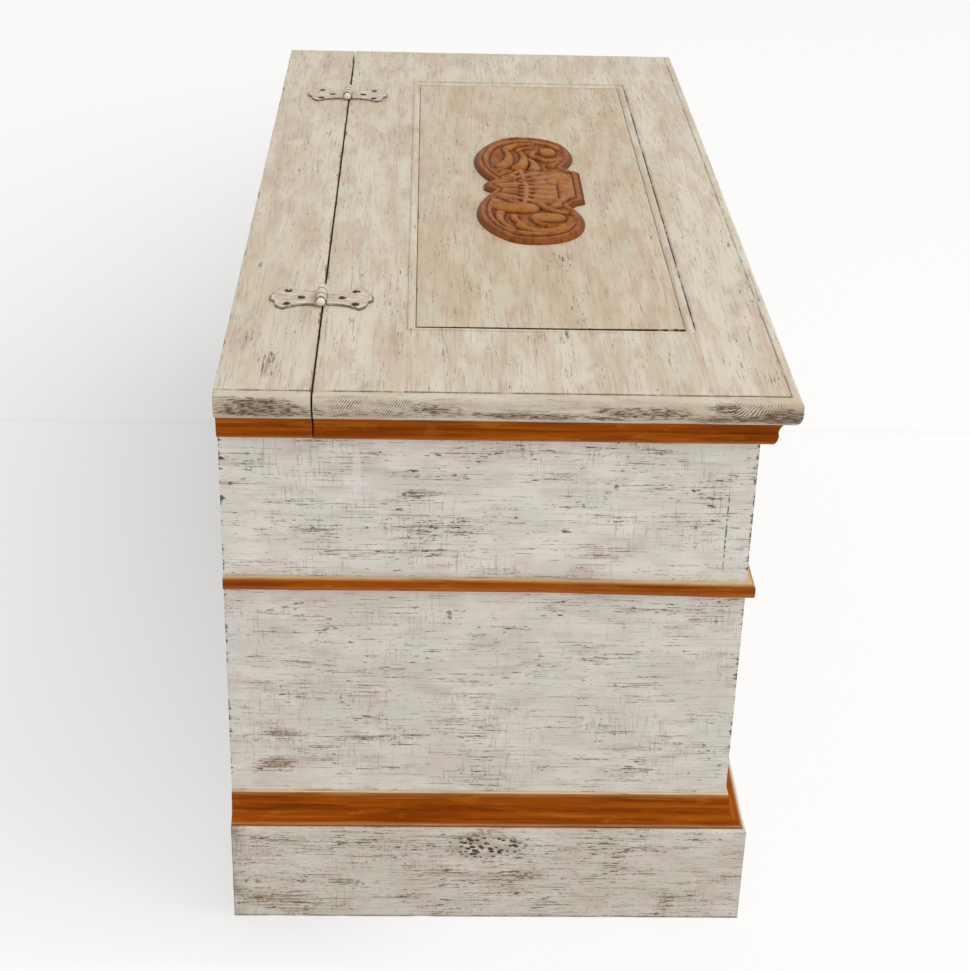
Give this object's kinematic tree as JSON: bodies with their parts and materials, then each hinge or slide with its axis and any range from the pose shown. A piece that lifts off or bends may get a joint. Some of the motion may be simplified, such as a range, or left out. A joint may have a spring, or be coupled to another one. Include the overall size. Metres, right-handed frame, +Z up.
{
  "type": "storage bench",
  "caption": "Painted wooden storage bench with a plinth, stained mouldings and a framed panel lid that lifts on two butterfly hinges.",
  "frame": {"origin": "on the floor, under the middle of the outline in plan", "axes": "+X along the length (the end at -X is called left), -Y towards the front, +Y towards the flat back, +Z up"},
  "size_m": [1.032, 0.48, 0.5503],
  "materials": {
    "whitewashed_board": "distressed whitewash",
    "stained_moulding": "orange-brown stain, satin",
    "carved_wood": "carved and stained",
    "bare_pine": "bare",
    "painted_hinge": "brushed-over paint",
    "hinge_screw": "darkened"
  },
  "bodies": {
    "chest": {"back_panel": "whitewashed_board", "back_rail": "whitewashed_board", "back_rail_batten": "bare_pine", "band_front": "stained_moulding", "band_left": "stained_moulding", "band_right": "stained_moulding", "base_moulding_front": "stained_moulding", "base_moulding_left": "stained_moulding", "base_moulding_right": "stained_moulding", "bottom_board": "bare_pine", "bottom_cleat_back": "bare_pine", "bottom_cleat_front": "bare_pine", "bottom_cleat_left": "bare_pine", "bottom_cleat_right": "bare_pine", "front_panel": "whitewashed_board", "glue_block_back_left": "bare_pine", "glue_block_back_right": "bare_pine", "glue_block_front_left": "bare_pine", "glue_block_front_right": "bare_pine", "left_end_panel": "whitewashed_board", "left_hinge_pin": "painted_hinge", "left_hinge_rail_leaf": "painted_hinge", "plinth_front": "whitewashed_board", "plinth_left": "whitewashed_board", "plinth_right": "whitewashed_board", "rail_cornice_left": "stained_moulding", "rail_cornice_right": "stained_moulding", "rail_hinge_screws": "hinge_screw", "right_end_panel": "whitewashed_board", "right_hinge_pin": "painted_hinge", "right_hinge_rail_leaf": "painted_hinge"},
    "lid": {"carved_emblem": "carved_wood", "left_hinge_lid_leaf": "painted_hinge", "lid_cornice_front": "stained_moulding", "lid_cornice_left": "stained_moulding", "lid_cornice_right": "stained_moulding", "lid_front_stile": "whitewashed_board", "lid_hinge_screws": "hinge_screw", "lid_hinge_stile": "whitewashed_board", "lid_left_rail": "whitewashed_board", "lid_panel": "whitewashed_board", "lid_right_rail": "whitewashed_board", "right_hinge_lid_leaf": "painted_hinge"}
  },
  "joints": [
    {"name": "lid_hinge", "type": "hinge", "parent": "chest", "child": "lid", "pos_m": [0, 0.16175, 0.5458], "axis": [-1, 0, 0], "range_deg": [0, 100]}
  ]
}
